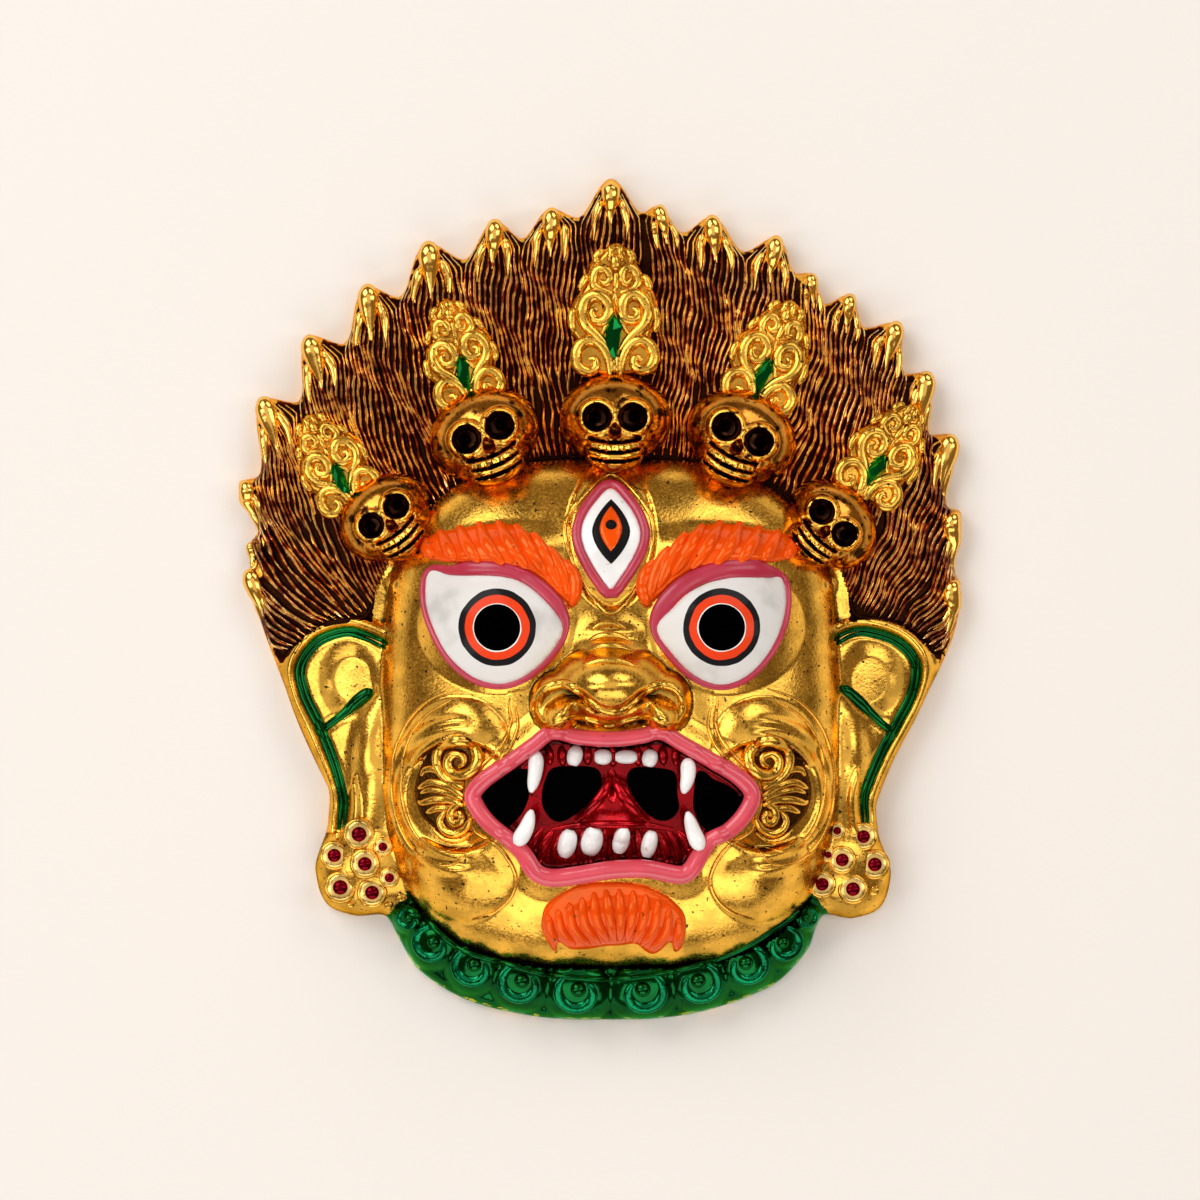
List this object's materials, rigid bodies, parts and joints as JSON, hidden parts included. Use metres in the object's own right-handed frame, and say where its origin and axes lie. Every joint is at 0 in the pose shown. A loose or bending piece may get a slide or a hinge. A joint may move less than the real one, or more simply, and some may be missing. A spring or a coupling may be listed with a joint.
{
  "type": "wrathful guardian wall mask",
  "caption": "Gilt cast wall mask of a wrathful guardian with a third eye, bared fangs, a crown of skulls and flaming hair, hollow behind.",
  "frame": {"origin": "under the middle of the outline, on the ground plane of the open back's rim, mask lying face up", "axes": "+Z out of the face, +Y towards the highest tip of the hair, +X towards the viewer's right"},
  "size_m": [0.172, 0.2, 0.0495],
  "materials": {
    "gilt_metal": "polished"
  },
  "bodies": {
    "root": {"mask": "gilt_metal"}
  },
  "joints": []
}
